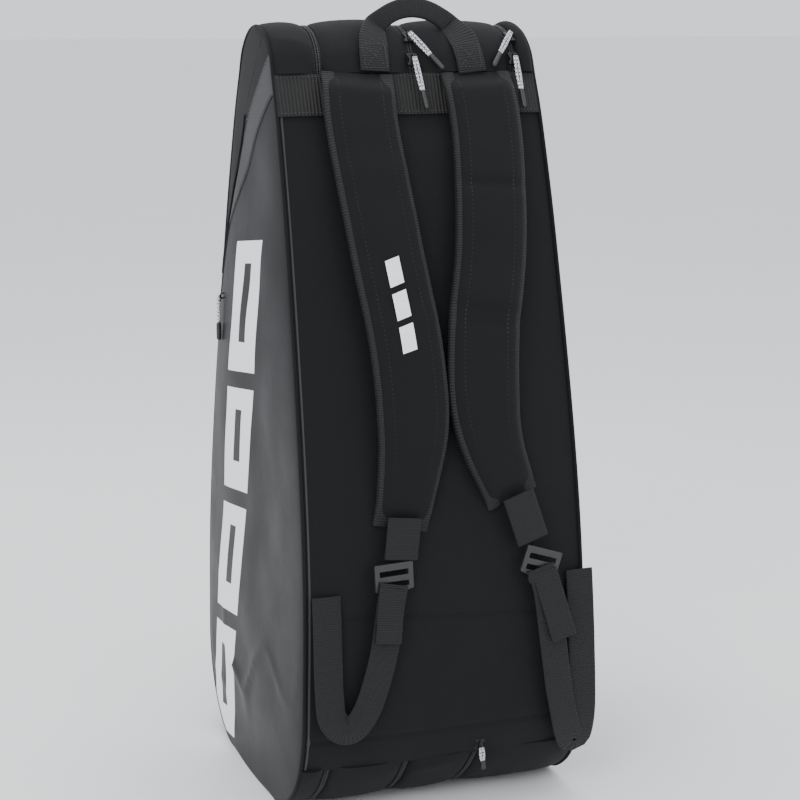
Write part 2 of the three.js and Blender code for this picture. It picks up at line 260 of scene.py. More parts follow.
def woven_cloth(name, dark, light, rough=(0.74, 0.9), weave=0.0011, sheen=0.03, depth=0.00025):
    """Plain-weave polyester: crossing threads, slubs and slow tone changes; the colour is lighter on the raised
    threads and darker between them, which is painted shade.
    """
    n = Nodes(name)
    u, v, _ = n.axes()
    threads = n.math("MULTIPLY", n.wave(u, weave), n.wave(v, weave))
    slubs = n.noise(900)
    tone = n.noise(14)
    # painted shade: the colour follows the thread bumps, lighter on the raised threads and darker in the gaps,
    # mixed with a real random tone
    fac = n.math("ADD", n.math("MULTIPLY", threads, 0.5), n.math("MULTIPLY", tone, 0.5))
    n.color(n.mix(fac, dark, light))
    n.roughness(tone, *rough)
    weave_bump = n.bump(n.math("ADD", threads, n.math("MULTIPLY", slubs, 0.6)), depth, 0.8)
    n.normal(n.bump(n.noise(55, 6), 0.0007, 0.5, weave_bump))
    n.set(Sheen_Weight=sheen, Sheen_Roughness=0.5, Specular_IOR_Level=0.22)
    return n.material


def ribbed_webbing(name, dark, light, rib=0.0021):
    """Webbing: ribs across its length with fine yarn along it; the colour is lighter on the rib crests and darker
    in the grooves, which is painted shade.
    """
    n = Nodes(name)
    u, v, _ = n.axes()
    ribs = n.wave(v, rib)
    yarn = n.wave(u, rib * 0.55)
    tone = n.noise(30)
    height = n.math("ADD", ribs, n.math("MULTIPLY", yarn, 0.35))
    # painted shade: the colour follows the ribs, lighter on their crests and darker in the grooves, mixed with a
    # real random tone
    fac = n.math("ADD", n.math("MULTIPLY", ribs, 0.55), n.math("MULTIPLY", tone, 0.35))
    n.color(n.mix(fac, dark, light))
    n.roughness(tone, 0.55, 0.75)
    n.normal(n.bump(height, 0.0007, 0.9, n.bump(n.noise(1200), 0.0002, 0.5)))
    n.set(Sheen_Weight=0.03, Sheen_Roughness=0.4, Specular_IOR_Level=0.3)
    return n.material


def parallelogram(n, y, z, low_z, high_z, left, right, lean, slant):
    """1 inside a leaning bar, 0 outside, with its edges about half a millimetre soft."""
    across = n.math("ADD", y, n.math("MULTIPLY", z, lean))
    along = n.math("ADD", z, n.math("MULTIPLY", y, slant))
    mask = None
    limits = ((across, left, 1), (across, right, -1), (along, low_z, 1), (along, high_z, -1))
    for value, edge, sign in limits:
        step = n.math("MULTIPLY", n.math("SUBTRACT", value, edge), sign * 2500.0)
        side = n.math("ADD", step, 0.5, clamp=True)
        mask = side if mask is None else n.math("MINIMUM", mask, side)
    return mask


def tarpaulin(name):
    """Coated tarpaulin, with a printed row of leaning bars."""
    n = Nodes(name)
    y, z, _ = n.axes()
    lean = 0.214
    mask = None
    bars = ((0.415, 0.545), (0.292, 0.398), (0.160, 0.275), (0.020, 0.143))
    for low, high in bars:
        whole = parallelogram(n, y, z, low, high, 0.068, 0.150, lean, 0.12)
        notch = parallelogram(n, y, z, low + 0.030, high - 0.022, 0.098, 0.118, lean, 0.12)
        bar = n.math("SUBTRACT", whole, notch, clamp=True)
        mask = bar if mask is None else n.math("MAXIMUM", mask, bar)
    tone = n.noise(9)
    coating = n.mix(tone, (0.004, 0.0042, 0.0048), (0.009, 0.0093, 0.0105))
    n.color(n.mix(mask, coating, (0.80, 0.83, 0.87)))
    n.roughness(n.noise(25, 5), 0.36, 0.50)
    grain = n.bump(n.noise(700, 3), 0.00015, 0.5)
    n.normal(n.bump(n.noise(22, 4), 0.0012, 0.35, grain))
    n.set(Specular_IOR_Level=0.14)
    return n.material


def moulded(name, base, rough=(0.28, 0.45), metallic=0.0):
    """Moulded plastic or lacquered metal, with fine pitting and handling marks."""
    n = Nodes(name)
    marks = n.noise(120, 6)
    lighter = tuple(min(1.0, c * 1.8 + 0.004) for c in base)
    n.color(n.mix(marks, base, lighter))
    n.roughness(marks, *rough)
    n.normal(n.bump(n.noise(1500), 0.0001, 0.4))
    n.set(Metallic=metallic, Specular_IOR_Level=0.5)
    return n.material


def braided_cord(name):
    """White cord with slanted black picks."""
    n = Nodes(name)
    u, v, _ = n.axes()
    left = n.wave(n.math("ADD", u, v), 0.0042)
    right = n.wave(n.math("SUBTRACT", v, u), 0.0031)
    pick = n.math("GREATER_THAN", n.math("MULTIPLY", left, right), 0.42)
    n.color(n.mix(pick, (0.72, 0.74, 0.78), (0.02, 0.02, 0.022)))
    n.roughness(n.noise(300), 0.6, 0.8)
    n.normal(n.bump(n.math("ADD", left, right), 0.0005, 0.8))
    return n.material


def zip_coil(name):
    n = Nodes(name)
    u, v, _ = n.axes()
    # painted highlight and painted shade: the colour follows the coil bumps, lighter on each crest and darker
    # between the coils
    n.color(n.mix(n.wave(v, 0.0016), (0.010, 0.010, 0.011), (0.035, 0.035, 0.037)))
    n.roughness(n.noise(200), 0.35, 0.5)
    n.normal(n.bump(n.wave(v, 0.0016), 0.0006, 0.8))
    return n.material


MATERIALS = {
    "cloth": woven_cloth("cloth", (0.0026, 0.0027, 0.0030), (0.0085, 0.0088, 0.0095)),
    "pad_cloth": woven_cloth("pad_cloth", (0.0024, 0.0025, 0.0028), (0.0075, 0.0078, 0.0085), weave=0.0008),
    "lining": woven_cloth("lining", (0.035, 0.036, 0.039), (0.06, 0.061, 0.065), sheen=0.1),
    "grey_cloth": woven_cloth("grey_cloth", (0.028, 0.029, 0.031), (0.060, 0.061, 0.064), (0.5, 0.7), 0.0014, 0.02),
    "webbing": ribbed_webbing("webbing", (0.0035, 0.0035, 0.004), (0.016, 0.0165, 0.018)),
    "binding": ribbed_webbing("binding", (0.003, 0.003, 0.0035), (0.022, 0.0225, 0.024), 0.0024),
    "band": ribbed_webbing("band", (0.003, 0.003, 0.003), (0.020, 0.0198, 0.0194), 0.0034),
    "tarpaulin": tarpaulin("tarpaulin"),
    "plastic": moulded("plastic", (0.012, 0.012, 0.013)),
    "metal": moulded("metal", (0.02, 0.02, 0.022), (0.22, 0.36), 0.7),
    "cord": braided_cord("cord"),
    "coil": zip_coil("coil"),
    "thread": moulded("thread", (0.028, 0.028, 0.030), (0.6, 0.8)),
    "print": moulded("print", (0.72, 0.74, 0.77), (0.45, 0.6)),
}


# ---- mesh helpers ----
def piece(name, vertices, faces, uv, material, body=None, replaces=()):
    """A smooth mesh object with per-vertex UVs in metres, riding on a body."""
    mesh = bpy.data.meshes.new(name)
    mesh.from_pydata(np.asarray(vertices, float).tolist(), [], faces)
    layer = mesh.uv_layers.new(name="UVMap")
    corner = np.zeros(len(mesh.loops), int)
    mesh.loops.foreach_get("vertex_index", corner)
    layer.data.foreach_set("uv", np.asarray(uv, np.float32)[corner].ravel())
    tidy_mesh(mesh)
    mesh.polygons.foreach_set("use_smooth", [True] * len(mesh.polygons))
    mesh.set_sharp_from_angle(angle=SHARP_EDGE)
    obj = bpy.data.objects.new(name, mesh)
    bpy.context.scene.collection.objects.link(obj)
    obj.data.materials.append(MATERIALS[material])
    if body:
        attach(obj, body)
    if replaces:
        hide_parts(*replaces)
    return obj


def tidy_mesh(mesh):
    """Makes every face point outwards."""
    bm = bmesh.new()
    bm.from_mesh(mesh)
    bmesh.ops.recalc_face_normals(bm, faces=bm.faces)
    bm.to_mesh(mesh)
    bm.free()


def quads(rows, cols, start=0, wrap=False):
    faces = []
    for i in range(rows - 1):
        for k in range(cols if wrap else cols - 1):
            a = start + i * cols + k
            b = start + i * cols + (k + 1) % cols
            faces.append((a, b, b + cols, a + cols))
    return faces


def sheet(name, outer, inner, uv, material, **more):
    """A closed solid between two grids of points."""
    rows, cols = outer.shape[:2]
    vertices = np.vstack([outer.reshape(-1, 3), inner.reshape(-1, 3)])
    count = rows * cols
    faces = quads(rows, cols) + [f[::-1] for f in quads(rows, cols, count)]
    edge = [k for k in range(cols)] + [i * cols + cols - 1 for i in range(1, rows)]
    edge += [(rows - 1) * cols + k for k in range(cols - 2, -1, -1)]
    edge += [i * cols for i in range(rows - 2, 0, -1)]
    for a, b in zip(edge, edge[1:] + edge[:1]):
        faces.append((a, a + count, b + count, b))
    return piece(name, vertices, faces, np.vstack([uv.reshape(-1, 2)] * 2), material, **more)


def loft(name, rings, uv, material, closed=False, **more):
    """A closed solid through rings of points, capped unless it closes on itself."""
    rows, cols = rings.shape[:2]
    if closed:
        rings = np.concatenate([rings, rings[:1]])
        faces = [tuple(v % (rows * cols) for v in f) for f in quads(rows + 1, cols, wrap=True)]
        rings = rings[:-1]
    else:
        faces = quads(rows, cols, wrap=True)
        faces += [tuple(range(cols))[::-1], tuple((rows - 1) * cols + k for k in range(cols))]
    return piece(name, rings.reshape(-1, 3), faces, uv.reshape(-1, 2), material, **more)


def wander(points, scale, seed):
    """Smooth noise, about -0.5 to 0.5, at each point of an array (..., 3)."""
    flat = points.reshape(-1, 3)
    shift = Vector((seed * 3.1, seed * 1.7, seed * 5.3))
    values = [noise.noise(Vector(p) * scale + shift) for p in flat.tolist()]
    return np.array(values).reshape(points.shape[:-1])


def creases(points, scale, seed):
    """Sharp-crested folds, 0 to 1."""
    return (1 - np.minimum(1, np.abs(wander(points, scale, seed)) * 6)) ** 2


def tube(name, path, radius, material, sides=10, closed=False, **more):
    """A round cord or piping along a path."""
    path = np.asarray(path, float)
    t = np.gradient(path, axis=0)
    if closed:
        t = np.roll(path, -1, 0) - np.roll(path, 1, 0)
    t /= np.linalg.norm(t, axis=1)[:, None]
    first = np.cross(t[0], (1.0, 0.0, 0.0))
    if np.linalg.norm(first) < 0.1:
        first = np.cross(t[0], (0.0, 1.0, 0.0))
    sideways = [first / np.linalg.norm(first)]
    for direction in t[1:]:
        v = sideways[-1] - direction * (sideways[-1] @ direction)
        sideways.append(v / np.linalg.norm(v))
    sideways = np.array(sideways)
    other = np.cross(t, sideways)
    angle = np.linspace(0, 2 * math.pi, sides, endpoint=False)
    radius = np.broadcast_to(np.asarray(radius, float), (len(path),))
    rings = path[:, None] + radius[:, None, None] * (
        np.cos(angle)[None, :, None] * sideways[:, None] + np.sin(angle)[None, :, None] * other[:, None])
    along = np.r_[0, np.cumsum(np.linalg.norm(np.diff(path, axis=0), axis=1))]
    uv = np.stack(np.broadcast_arrays(angle[None] * radius.max(), along[:, None]), -1)
    return loft(name, rings, uv, material, closed=closed, **more)


# ---- the shell: gussets and zips round the outline ----
def run_of(count):
    """Distances along the outline that a main zip covers, from the strap side's foot to its head."""
    return np.linspace(rim.strap(ZIP_LOW_Z) - rim.length, rim.strap(ZIP_TOP_Z), count)


def rim_grid(s, x_low, x_high, cols, lift):
    """Points (len(s), cols, 3) on the outline's surface, pushed out by lift(t, z)."""
    y, z, ny, nz = (a[:, None] for a in rim.at(s))
    t = np.linspace(0, 1, cols)[None]
    x = x_low(z) + (x_high(z) - x_low(z)) * t
    out = lift(t, z) + 0 * x
    points = np.stack([x, y + ny * out, z + nz * out], -1)
    return points, np.stack([0 * x, ny + 0 * x, nz + 0 * x], -1)


def gusset(name, body, x_low, x_high, puff, seed):
    """A puffed strip of cloth between two zips, rolled down where it is sewn to them."""
    s = run_of(340)

    def lift(t, z):
        crown = np.sqrt(np.clip(4 * t * (1 - t), 0, 1))
        return puff * crown * (0.5 + 0.5 * smooth(0.0, 0.05, z)) - 0.0012 * (1 - crown)

    points, normals = rim_grid(s, x_low, x_high, 22, lift)
    fold = 0.0030 * wander(points * (1, 1, 1.0), 14, seed) + 0.0016 * creases(points, 9, seed + 4)
    t = np.linspace(0, 1, 22)[None]
    fade = np.clip(4 * t * (1 - t), 0, 1) * smooth(0.004, 0.05, points[..., 2])
    outer = points + normals * (fold * fade)[..., None]
    outer[..., 2] = np.maximum(outer[..., 2], 0.0002)
    uv = np.stack([points[..., 0], np.broadcast_to(s[:, None], points.shape[:2])], -1)
    return sheet(name + "_cloth", outer, outer - normals * CLOTH, uv, "cloth", body=body, replaces=(name,))


def zip_tapes(name, ends, left_body, right_body):
    """Two tapes that meet in a coil, each half riding with its own side."""
    s = run_of(420)
    for side, body in ((-1, left_body), (1, right_body)):
        node = f"{name}_tape_{'left' if side < 0 else 'right'}"
        middle = lambda z: ramp(ends, z)
        edge = lambda z: ramp(ends, z) + side * (ZIP_HALF + 0.003)
        low, high = (edge, middle) if side < 0 else (middle, edge)
        points, normals = rim_grid(s, low, high, 5, lambda t, z: -0.0022 + 0 * t)
        uv = np.stack([points[..., 0], np.broadcast_to(s[:, None], points.shape[:2])], -1)
        tape = sheet(node + "_cloth", points, points - normals * 0.001, uv, "binding",
                     body=body, replaces=(node,))
        inner = lambda z: ramp(ends, z) + side * 0.0002
        outer = lambda z: ramp(ends, z) + side * 0.0021
        low, high = (outer, inner) if side < 0 else (inner, outer)
        dense = run_of(1100)
        ridge = 0.0004 * np.sin(np.arange(len(dense)) * math.pi / 1.5)[:, None]
        crown = lambda t, z: -0.0016 + 0.0014 * np.sqrt(np.clip(4 * t * (1 - t), 0, 1))
        points, normals = rim_grid(dense, low, high, 5, crown)
        points = points + normals * (ridge + 0 * points[..., 0])[..., None]
        uv = np.stack([points[..., 0], np.broadcast_to(dense[:, None], points.shape[:2])], -1)
        depth = 0.0028 + crown(np.linspace(0, 1, 5)[None], 0) + 0 * ridge
        base = points - normals * depth[..., None]
        sheet(node + "_coil", points, base, uv, "coil", body=body)


def spine_surface(x, z):
    """The outer face of the padded spine at (x, z), as points and normals."""
    y, _, ny, nz = rim.at(rim.strap(z))
    half = side_x(z)
    e = np.clip(1 - (x / half) ** 2, 0, 1)
    puff = 0.0045 * e**0.7 * (1 - 0.8 * smooth(0.63, 0.67, z)) - 0.002 * (1 - e) ** 3
    points = np.stack(np.broadcast_arrays(x, y, z), -1).astype(float)
    wrinkle = 0.0022 * wander(points, 9, 3) + 0.0012 * wander(points, 26, 8)
    for level, rise in ((0.203, -0.06), (0.090, 0.0)):
        line = z - level - rise * x
        puff = puff - 0.0016 * np.exp(-((line / 0.0022) ** 2))
    puff = puff + wrinkle * e
    normals = np.stack([0 * x + 0 * y, ny + 0 * x, nz + 0 * x], -1)
    return points + np.stack([0 * puff, ny * puff, nz * puff], -1), normals


def spine():
    """The padded back, in two halves."""
    z = np.linspace(0.0585, 0.7055, 230)[:, None]
    for name, sign, cover in (("spine_left", -1, "left_cover"), ("spine_right", 1, "right_cover")):
        t = np.linspace(0, 1, 46)[None]
        x = sign * t * side_x(z)
        points, normals = spine_surface(x, z + 0 * x)
        thick = 0.003 + 0.007 * (1 - smooth(0.095, 0.118, np.abs(x)))
        uv = np.stack([x, z + 0 * x], -1)
        inner = points - normals * thick[..., None]
        nodes = ("spine_panel", "left_hinge_cloth") if sign < 0 else ("right_hinge_cloth",)
        half = sheet(name, points, inner, uv, "cloth", replaces=nodes)
        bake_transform(half)


def on_spine(x, z, lift):
    """One point in front of the spine."""
    points, normals = spine_surface(np.array([[x]]), np.array([[z]]))
    return points[0, 0] + normals[0, 0] * lift


def webbing_band():
    """The wide ribbed band sewn across the spine's head, and its stitches."""
    z = np.linspace(0.667, 0.7045, 14)[:, None]
    x = np.linspace(-0.132, 0.132, 90)[None]
    points, normals = spine_surface(x + 0 * z, z + 0 * x)
    outer = points + normals * 0.0026
    uv = np.stack([z + 0 * x, x + 0 * z], -1)
    sheet("top_band", outer, points + normals * 0.0004, uv, "band", body="bag_body",
          replaces=("top_webbing_band",))
    for level in (0.6695, 0.7020):
        row = [on_spine(v, level, 0.0030) for v in np.linspace(-0.13, 0.13, 60)]
        stitches(f"band_stitch_{level:.3f}", row, "bag_body")


def stitches(name, path, body, pitch=0.0042, length=0.0028, radius=0.00045):
    """A row of short raised threads along a path."""
    path = np.asarray(path, float)
    at = np.r_[0, np.cumsum(np.linalg.norm(np.diff(path, axis=0), axis=1))]
    starts = np.arange(0, at[-1] - length, pitch)
    look = lambda d: np.stack([np.interp(d, at, path[:, k]) for k in range(3)], 1)
    a, b = look(starts), look(starts + length)
    along = (b - a) / np.linalg.norm(b - a, axis=1)[:, None]
    up = np.cross(along, (0.3, 0.2, 0.9))
    up /= np.linalg.norm(up, axis=1)[:, None]
    other = np.cross(along, up)
    middle = (a + b) / 2
    vertices = np.stack([a, middle + up * radius, middle + other * radius,
                         middle - up * radius, middle - other * radius, b], 1)
    faces = []
    for i in range(len(starts)):
        k = i * 6
        for c in range(4):
            p, q = k + 1 + c, k + 1 + (c + 1) % 4
            faces += [(k, p, q), (k + 5, q, p)]
    flat = vertices.reshape(-1, 3)
    return piece(name, flat, faces, np.zeros((len(flat), 2)), "thread", body=body)


# ---- the covers' big faces ----
def face_x(side, y, z):
    """The swelling side face: its X at (y, z)."""
    half = rim.depth(z)
    e = np.clip(1 - (y / np.maximum(half, 1e-4)) ** 2, 0, 1)
    ends = smooth(0.0, 0.10, z) * smooth(0.0, 0.09, HEIGHT - z)
    points = np.stack(np.broadcast_arrays(0 * y, y, z), -1)
    sway = 0.0055 * wander(points, 5.5, 11 + side) + 0.0024 * wander(points, 14, 21 + side)
    near_base = (1 - smooth(0.05, 0.22, z)) * smooth(0.0, 0.03, z)
    low_folds = 0.0035 * creases(points * (1, 1, 0.55), 13, 5) * near_base
    return side * (side_x(z) + FACE_CROWN * e**0.55 * (0.35 + 0.65 * ends) + (sway + low_folds) * e * ends)


def face_mesh(name, side, keep, lift, thick, material, body, replaces=(), rows=210, cols=64):
    """The part of a side face inside some half planes, given as (point, direction to keep)."""
    v = np.linspace(0, 1, rows)
    z = (HEIGHT - 0.0005) * (0.5 - 0.5 * np.cos(v * math.pi)) * 0.35 + (HEIGHT - 0.0005) * v * 0.65
    z = z[:, None]
    t = np.sin(np.linspace(-1, 1, cols) * math.pi / 2)[None]
    y = t * rim.depth(z)
    x = face_x(side, y, z + 0 * y) + side * lift
    points = np.stack([x, y, z + 0 * y], -1)
    mesh = bpy.data.meshes.new(name)
    mesh.from_pydata(points.reshape(-1, 3).tolist(), [], quads(rows, cols))
    bm = bmesh.new()
    bm.from_mesh(mesh)
    bmesh.ops.remove_doubles(bm, verts=bm.verts, dist=1e-6)
    for (py, pz), (ny, nz) in keep:
        geom = bm.verts[:] + bm.edges[:] + bm.faces[:]
        bmesh.ops.bisect_plane(bm, geom=geom, plane_co=(0, py, pz), plane_no=(0, -ny, -nz), clear_outer=True)
    uv = bm.loops.layers.uv.new("UVMap")
    for face in bm.faces:
        face.smooth = True
        for loop in face.loops:
            loop[uv].uv = (loop.vert.co.y, loop.vert.co.z)
    bm.normal_update()
    if sum(f.normal.x for f in bm.faces) * side < 0:
        bmesh.ops.reverse_faces(bm, faces=bm.faces)
    bm.to_mesh(mesh)
    bm.free()
    obj = bpy.data.objects.new(name, mesh)
    bpy.context.scene.collection.objects.link(obj)
    obj.data.materials.append(MATERIALS[material])
    solid = obj.modifiers.new("thickness", "SOLIDIFY")
    solid.thickness = thick
    solid.offset = -1
    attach(obj, body)
    if replaces:
        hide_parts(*replaces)
    return obj


def half_plane(line, offset, keep_below):
    """The half of the (y, z) plane on one side of a line, moved by offset towards its kept side."""
    a, b = np.array(line[0]), np.array(line[1])
    along = (b - a) / np.linalg.norm(b - a)
    below = np.array((along[1], -along[0]))
    if below[1] > 0:
        below = -below
    direction = below if keep_below else -below
    point = a + direction * offset
    return tuple(point), tuple(direction)


def left_face():
    body = "left_cover"
    edge = 0.0002
    near_zip = half_plane(POCKET_ZIP, 0.0045, True)
    far_of_zip = half_plane(POCKET_ZIP, 0.0045, False)
    below_lower = half_plane(STRIP_LOWER, edge, True)
    above_lower = half_plane(STRIP_LOWER, edge, False)
    below_upper = half_plane(STRIP_UPPER, edge, True)
    above_upper = half_plane(STRIP_UPPER, edge, False)
    face_mesh("left_face_backing", -1, [], -0.004, 0.003, "lining", body, ("left_side_panel",), 90, 30)
    face_mesh("tarpaulin_front", -1, [below_lower, near_zip], 0.0012, 0.003, "tarpaulin", body,
              ("pocket_front",))
    face_mesh("grey_strip", -1, [below_upper, above_lower, near_zip], 0.0020, 0.003, "grey_cloth", body,
              ("pocket_strip",))
    face_mesh("left_corner_cloth", -1, [above_upper, half_plane(POCKET_ZIP, -0.0045, True)], 0.0, 0.003,
              "cloth", body)
    face_mesh("left_far_cloth", -1, [far_of_zip], 0.0, 0.003, "cloth", body)
    pocket_zip(body)


def face_path(line, side, lift, count=60, start=0.0, end=1.0):
    """Points along a line on a side face."""
    a, b = np.array(line[0]), np.array(line[1])
    yz = a + (b - a) * np.linspace(start, end, count)[:, None]
    inside = np.abs(yz[:, 0]) < rim.depth(yz[:, 1]) - 0.003
    yz = yz[inside]
    x = face_x(side, yz[:, 0], yz[:, 1]) + side * lift
    return np.stack([x, yz[:, 0], yz[:, 1]], -1)


def pocket_zip(body):
    tube("pocket_zip_coil", face_path(POCKET_ZIP, -1, -0.0015, 260), 0.0022, "coil", body=body,
         replaces=("pocket_zip",))
    for name, offset in (("pocket_zip_lip_near", 0.0050), ("pocket_zip_lip_far", -0.0050)):
        point, direction = half_plane(POCKET_ZIP, abs(offset), offset > 0)
        shift = np.array(direction) * abs(offset)
        line = [tuple(np.array(p) + shift) for p in POCKET_ZIP]
        tube(name, face_path(line, -1, 0.0006, 90), 0.0014, "cloth", body=body)
    for name, line in (("strip_stitch_upper", STRIP_UPPER), ("strip_stitch_lower", STRIP_LOWER)):
        keep = 0.0022 if name.endswith("upper") else -0.0022
        _, direction = half_plane(line, 0, True)
        moved = [tuple(np.array(p) + np.array(direction) * keep) for p in line]
        stitches(name, face_path(moved, -1, 0.0024, 90, 0.04, 0.93), body)


def right_face():
    body = "right_cover"
    face_mesh("right_face_cloth", 1, [], 0.0, 0.0035, "cloth", body, ("right_side_panel",))


def piping(name, side, body):
    """The bound seam round a cover's edge."""
    s = np.linspace(0, rim.length, 420, endpoint=False)
    y, z, ny, nz = rim.at(s)
    x = side * (side_x(z) + 0.0006)
    path = np.stack([x, y - ny * 0.0006, np.maximum(z - nz * 0.0006, 0.0016)], -1)
    tube(name, path, 0.0017, "cloth", 8, closed=True, body=body)


def divider(name, ends):
    """An inner wall of foam in lining cloth, quilted in wide rows."""
    v = np.linspace(0, 1, 110)[:, None]
    z = 0.016 + (HEIGHT - 0.034) * v
    t = np.sin(np.linspace(-1, 1, 36) * math.pi / 2)[None]
    y = t * np.maximum(rim.depth(z) - 0.0150, 0.004)
    quilt = 0.0014 * np.abs(np.sin(z * math.pi / 0.06)) * (1 - t**4)
    x = ramp(ends, z) + 0 * y
    left = np.stack([x - 0.0018 - quilt, y, z + 0 * y], -1)
    right = np.stack([x + 0.0018 + quilt, y, z + 0 * y], -1)
    uv = np.stack([y, z + 0 * y], -1)
    sheet(name + "_panel", left, right, uv, "lining", body="bag_body", replaces=(name,))


# ---- shoulder straps ----
def strap_path(points, count, stand_off):
    """Centre points, across directions and outward normals of a band in front of the spine."""
    curve, length = by_length(catmull_rom(points, 30), count)
    x, z = curve[:, 0], curve[:, 1]
    _, normals = spine_surface(x, z)
    y = -rim.depth(z)
    out = stand_off(np.linspace(0, 1, count), z)
    centre = np.stack([x, y, z], -1) + normals * out[:, None]
    t3 = np.gradient(centre, axis=0)
    t3 /= np.linalg.norm(t3, axis=1)[:, None]
    across = np.cross(normals, t3)
    across /= np.linalg.norm(across, axis=1)[:, None]
    normals = np.cross(t3, across)
    flip = np.where(normals[:, 1] > 0, -1.0, 1.0)[:, None]
    return centre, across * flip, normals * flip, length


def soft_ring(half_wide, bottom, top, count, square=0.42):
    """A cross-section with rounded sides: across and out coordinates."""
    a = np.linspace(0, 2 * math.pi, count, endpoint=False)
    across = half_wide * np.sign(np.cos(a)) * np.abs(np.cos(a)) ** square
    lift = np.sign(np.sin(a)) * np.abs(np.sin(a)) ** 0.7
    return across, (top + bottom) / 2 + (top - bottom) / 2 * lift


def ribbon(name, path, half_wide, bottom, top, material, count=24, square=0.42, offset=0.0, **more):
    """A lofted band; sizes may change along it, offset moves it across."""
    centre, across, normals, length = path
    rows = len(centre)
    spread = lambda value: np.broadcast_to(np.asarray(value, float), (rows,))
    half_wide, bottom, top, offset = map(spread, (half_wide, bottom, top, offset))
    rings = []
    uv = []
    for i in range(rows):
        a, b = soft_ring(half_wide[i], bottom[i], top[i], count, square)
        rings.append(centre[i] + across[i] * (a + offset[i])[:, None] + normals[i] * b[:, None])
        uv.append(np.stack([a, np.full(count, length * i / (rows - 1))], -1))
    return loft(name, np.array(rings), np.array(uv), material, **more)


def pad_stand_off(u, z):
    """The pads are sewn down at the head and foot, and stand off the back between them."""
    return 0.0035 + 0.010 * np.sin(math.pi * np.clip(u, 0, 1)) ** 0.8


def strap_pad(side, spec):
    rows = 150
    path = strap_path(spec["pad"], rows, pad_stand_off)
    u = np.linspace(0, 1, rows)
    z = path[0][:, 2]
    half = 0.0350 - 0.0085 * smooth(0.72, 1.0, u)
    ends = smooth(0.0, 0.05, u) * smooth(0.0, 0.06, 1 - u)
    thick = 0.0030 + 0.0095 * ends
    ripple = 0.0012 * wander(path[0], 34, 2 if side == "left" else 6)
    for level in spec["ripples"]:
        ripple = ripple - 0.0022 * np.exp(-(((z - level) / 0.006) ** 2))
    top = thick + ripple * ends
    pad = ribbon(f"{side}_pad", path, half - 0.003, 0.0, top, "pad_cloth", 40, 0.5,
                 replaces=(f"{side}_strap_pad",))
    parts = [pad]
    edge_thick = 0.0030 + 0.0050 * ends
    for name, sign in (("inner", -1), ("outer", 1)):
        sleeve_top = edge_thick + 0.0012 + ripple * 0.5 * ends
        sleeve = ribbon(f"{side}_binding_{name}", path, 0.0068, -0.0006, sleeve_top,
                        "binding", 22, 0.55, offset=sign * (half - 0.0062))
        parts.append(sleeve)
        row = [c + a * sign * h + n * (t + 0.0002) for c, a, n, h, t in
               zip(path[0], path[1], path[2], half - 0.0136, top * 0.93)]
        parts.append(stitches(f"{side}_pad_stitch_{name}", row[3:-3], None))
    if side == "left":
        parts.append(badge(path))
    for part in parts:
        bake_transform(part)


def badge(path):
    """A small printed mark of three leaning bars."""
    centre, across, normals, _ = path
    vertices, faces = [], []
    z = centre[:, 2]
    order = np.argsort(z)
    look = lambda a, level: np.array([np.interp(level, z[order], a[order, k]) for k in range(3)])
    for low, high in ((0.452, 0.476), (0.482, 0.506), (0.512, 0.536)):
        rows = np.linspace(low, high, 6)
        base = len(vertices)
        for level in rows:
            c, a, n = look(centre, level), look(across, level), look(normals, level)
            a = a * np.sign(a[0])
            for w in (-0.0045, 0.0045):
                skew = 0.3 * w
                vertices.append(look(centre, level + skew) + a * (w * 1.6) + n * 0.0133)
        for i in range(len(rows) - 1):
            k = base + 2 * i
            faces.append((k, k + 1, k + 3, k + 2))
    vertices = np.array(vertices)
    return piece("pad_print", vertices, faces, np.zeros((len(vertices), 2)), "print")


def webbing(side, key, half, lift, thick=0.0022, rows=60, **more):
    spec = STRAPS[side]
    path = strap_path(spec[key], rows, lambda u, z: lift(u) + 0 * z)
    return ribbon(f"{side}_{key}_webbing", path, half, 0.0, thick, "webbing", 20, 0.25, **more)


def buckle(side):
    """The ladder-lock, from its CAD shape with softened edges."""
    node = f"{side}_buckle"
    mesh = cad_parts[node].data.copy()
    bm = bmesh.new()
    bm.from_mesh(mesh)
    bmesh.ops.remove_doubles(bm, verts=bm.verts, dist=1e-6)
    bmesh.ops.dissolve_limit(bm, angle_limit=0.02, verts=bm.verts, edges=bm.edges)
    for face in bm.faces:
        face.smooth = False
    bm.to_mesh(mesh)
    bm.free()
    obj = bpy.data.objects.new(f"{side}_ladder_lock", mesh)
    bpy.context.scene.collection.objects.link(obj)
    mesh.materials.clear()
    mesh.materials.append(MATERIALS["plastic"])
    bevel = obj.modifiers.new("soft edges", "BEVEL")
    bevel.width = 0.0009
    bevel.segments = 3
    bevel.limit_method = "ANGLE"
    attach(obj, node)
    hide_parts(node)


def lower_webbings(side):
    """Webbing from the pad to the buckle, its tail, and the slack run to the bag's side."""
    strap, buckle_body = f"{side}_strap", f"{side}_buckle"
    webbing(side, "patch", 0.0165, lambda u: 0.0165 - 0.004 * u, 0.0032, 24,
            body=strap, replaces=(f"{side}_strap_patch",))
    webbing(side, "tail", 0.0130, lambda u: 0.0150 + 0.003 * u, 0.0022, 26,
            body=buckle_body, replaces=(f"{side}_tail",))
    slack = webbing(side, "lower", 0.0140,
                          lambda u: 0.0120 * (1 - u) ** 2 + 0.0050 * np.sin(math.pi * u) + 0.0030, 0.0020, 130,
                          replaces=(f"{side}_lower_strap", f"{side}_side_webbing"))
    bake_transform(slack)


